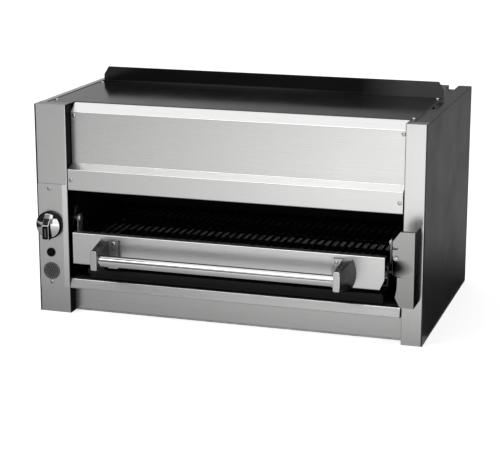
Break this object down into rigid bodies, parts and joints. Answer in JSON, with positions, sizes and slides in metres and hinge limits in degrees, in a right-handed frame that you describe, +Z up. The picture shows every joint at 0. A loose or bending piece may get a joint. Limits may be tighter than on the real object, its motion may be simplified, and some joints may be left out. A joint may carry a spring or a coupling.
{
  "type": "salamander grill",
  "caption": "Countertop gas salamander grill with a stainless front, overhead infrared burners, a roll-out rack on a spring-balanced lift and a pull-out drip tray.",
  "frame": {"origin": "centre of the casing's base, on the plane it stands on", "axes": "+X to the operator's right along the casing's width, -Y out of the front, +Z up"},
  "size_m": [0.914, 0.647, 0.533],
  "materials": {
    "stainless": "brushed",
    "dark_side_paint": "semi-gloss",
    "black_enamel": "satin",
    "galvanised": "satin",
    "ceramic_tile": "matte",
    "brass": "satin",
    "black_pipe": "satin",
    "black_plastic": "gloss",
    "chrome": "polished",
    "bright_screws": "polished",
    "zinc_steel": "zinc plated",
    "spring_steel": "satin",
    "bronze_bush": "satin"
  },
  "bodies": {
    "casing": {"left_side_panel": "dark_side_paint", "right_side_panel": "dark_side_paint", "back_panel": "galvanised", "base_pan": "galvanised", "top_panel": "dark_side_paint", "flue_riser": "black_enamel", "hood_front": "stainless", "left_post": "stainless", "right_post": "stainless", "lower_front_rail": "stainless", "left_liner": "black_enamel", "right_liner": "black_enamel", "rear_liner": "black_enamel", "tray_runners": "galvanised", "burner_rails": "galvanised", "burner_boxes": "galvanised", "burner_tiles": "ceramic_tile", "gas_valve": "brass", "gas_supply_pipe": "black_pipe", "gas_inlet": "black_pipe", "burner_manifold": "black_pipe", "control_panel": "stainless", "vent_grille": "dark_side_paint", "igniter_housing": "black_plastic", "panel_screws": "bright_screws", "hood_screws": "bright_screws", "top_screws": "bright_screws", "shaft_bushes": "bronze_bush", "pivot_studs": "zinc_steel", "spring_anchors": "zinc_steel", "left_spring": "spring_steel", "right_spring": "spring_steel"},
    "upper_arms": {"left_upper_arm": "zinc_steel", "right_upper_arm": "zinc_steel", "lift_shaft": "zinc_steel"},
    "left_lower_link": {"left_lower_arm": "zinc_steel"},
    "right_lower_link": {"right_lower_arm": "zinc_steel"},
    "carriage": {"left_carriage": "zinc_steel", "right_carriage": "zinc_steel", "carriage_ties": "zinc_steel", "carriage_pins": "zinc_steel", "roller_axles": "zinc_steel", "handle_arm": "zinc_steel", "lift_handle": "stainless", "lift_handle_bolts": "bright_screws"},
    "rack": {"rack_front_rail": "stainless", "rack_frame": "zinc_steel", "wire_grate": "chrome", "handle_brackets": "stainless", "handle_bar": "chrome", "handle_screws": "bright_screws"},
    "tray": {"drip_tray": "black_enamel"},
    "knob": {"knob_skirt": "black_plastic", "knob_grip": "chrome", "valve_stem": "brass"},
    "igniter": {"igniter_button": "black_plastic"},
    "front_left_roller_body": {"front_left_roller": "zinc_steel"},
    "front_right_roller_body": {"front_right_roller": "zinc_steel"},
    "rear_left_roller_body": {"rear_left_roller": "zinc_steel"},
    "rear_right_roller_body": {"rear_right_roller": "zinc_steel"}
  },
  "joints": [
    {"name": "rack_lift", "type": "hinge", "parent": "casing", "child": "upper_arms", "pos_m": [0, 0.11, 0.2555], "axis": [-1, 0, 0], "range_deg": [0, 12.89], "deforming": ["left_spring", "right_spring"]},
    {"name": "carriage_level", "type": "hinge", "parent": "upper_arms", "child": "carriage", "pos_m": [0, -0.222, 0.218], "axis": [-1, 0, 0], "range_deg": [-12.89, 0]},
    {"name": "left_lower_pivot", "type": "hinge", "parent": "casing", "child": "left_lower_link", "pos_m": [-0.3905, 0.11, 0.1875], "axis": [-1, 0, 0], "range_deg": [0, 12.89]},
    {"name": "right_lower_pivot", "type": "hinge", "parent": "casing", "child": "right_lower_link", "pos_m": [0.4115, 0.11, 0.1875], "axis": [-1, 0, 0], "range_deg": [0, 12.89]},
    {"name": "rack_roll_out", "type": "slide", "parent": "carriage", "child": "rack", "axis": [0, -1, 0], "range_m": [0, 0.22]},
    {"name": "tray_pull", "type": "slide", "parent": "casing", "child": "tray", "axis": [0, -1, 0], "range_m": [0, 0.25]},
    {"name": "knob_turn", "type": "hinge", "parent": "casing", "child": "knob", "pos_m": [-0.4245, -0.29, 0.212], "axis": [0, -1, 0], "range_deg": [0, 90]},
    {"name": "igniter_press", "type": "slide", "parent": "casing", "child": "igniter", "axis": [0, 1, 0], "range_m": [0, 0.004], "stiffness_N_per_m": 800},
    {"name": "front_left_roller_spin", "type": "hinge", "parent": "carriage", "child": "front_left_roller_body", "pos_m": [-0.367, -0.245, 0.155], "axis": [1, 0, 0], "range_deg": [-1, 1262]},
    {"name": "front_right_roller_spin", "type": "hinge", "parent": "carriage", "child": "front_right_roller_body", "pos_m": [0.367, -0.245, 0.155], "axis": [1, 0, 0], "range_deg": [-1, 1262]},
    {"name": "rear_left_roller_spin", "type": "hinge", "parent": "carriage", "child": "rear_left_roller_body", "pos_m": [-0.367, 0.03, 0.155], "axis": [1, 0, 0], "range_deg": [-1, 1262]},
    {"name": "rear_right_roller_spin", "type": "hinge", "parent": "carriage", "child": "rear_right_roller_body", "pos_m": [0.367, 0.03, 0.155], "axis": [1, 0, 0], "range_deg": [-1, 1262]}
  ],
  "couplings": [
    {"joint": "carriage_level", "follows": "rack_lift", "ratio": -1},
    {"joint": "left_lower_pivot", "follows": "rack_lift", "ratio": 1},
    {"joint": "right_lower_pivot", "follows": "rack_lift", "ratio": 1},
    {"joint": "front_left_roller_spin", "follows": "rack_roll_out", "rad_per_m": 100},
    {"joint": "front_right_roller_spin", "follows": "rack_roll_out", "rad_per_m": 100},
    {"joint": "rear_left_roller_spin", "follows": "rack_roll_out", "rad_per_m": 100},
    {"joint": "rear_right_roller_spin", "follows": "rack_roll_out", "rad_per_m": 100}
  ]
}
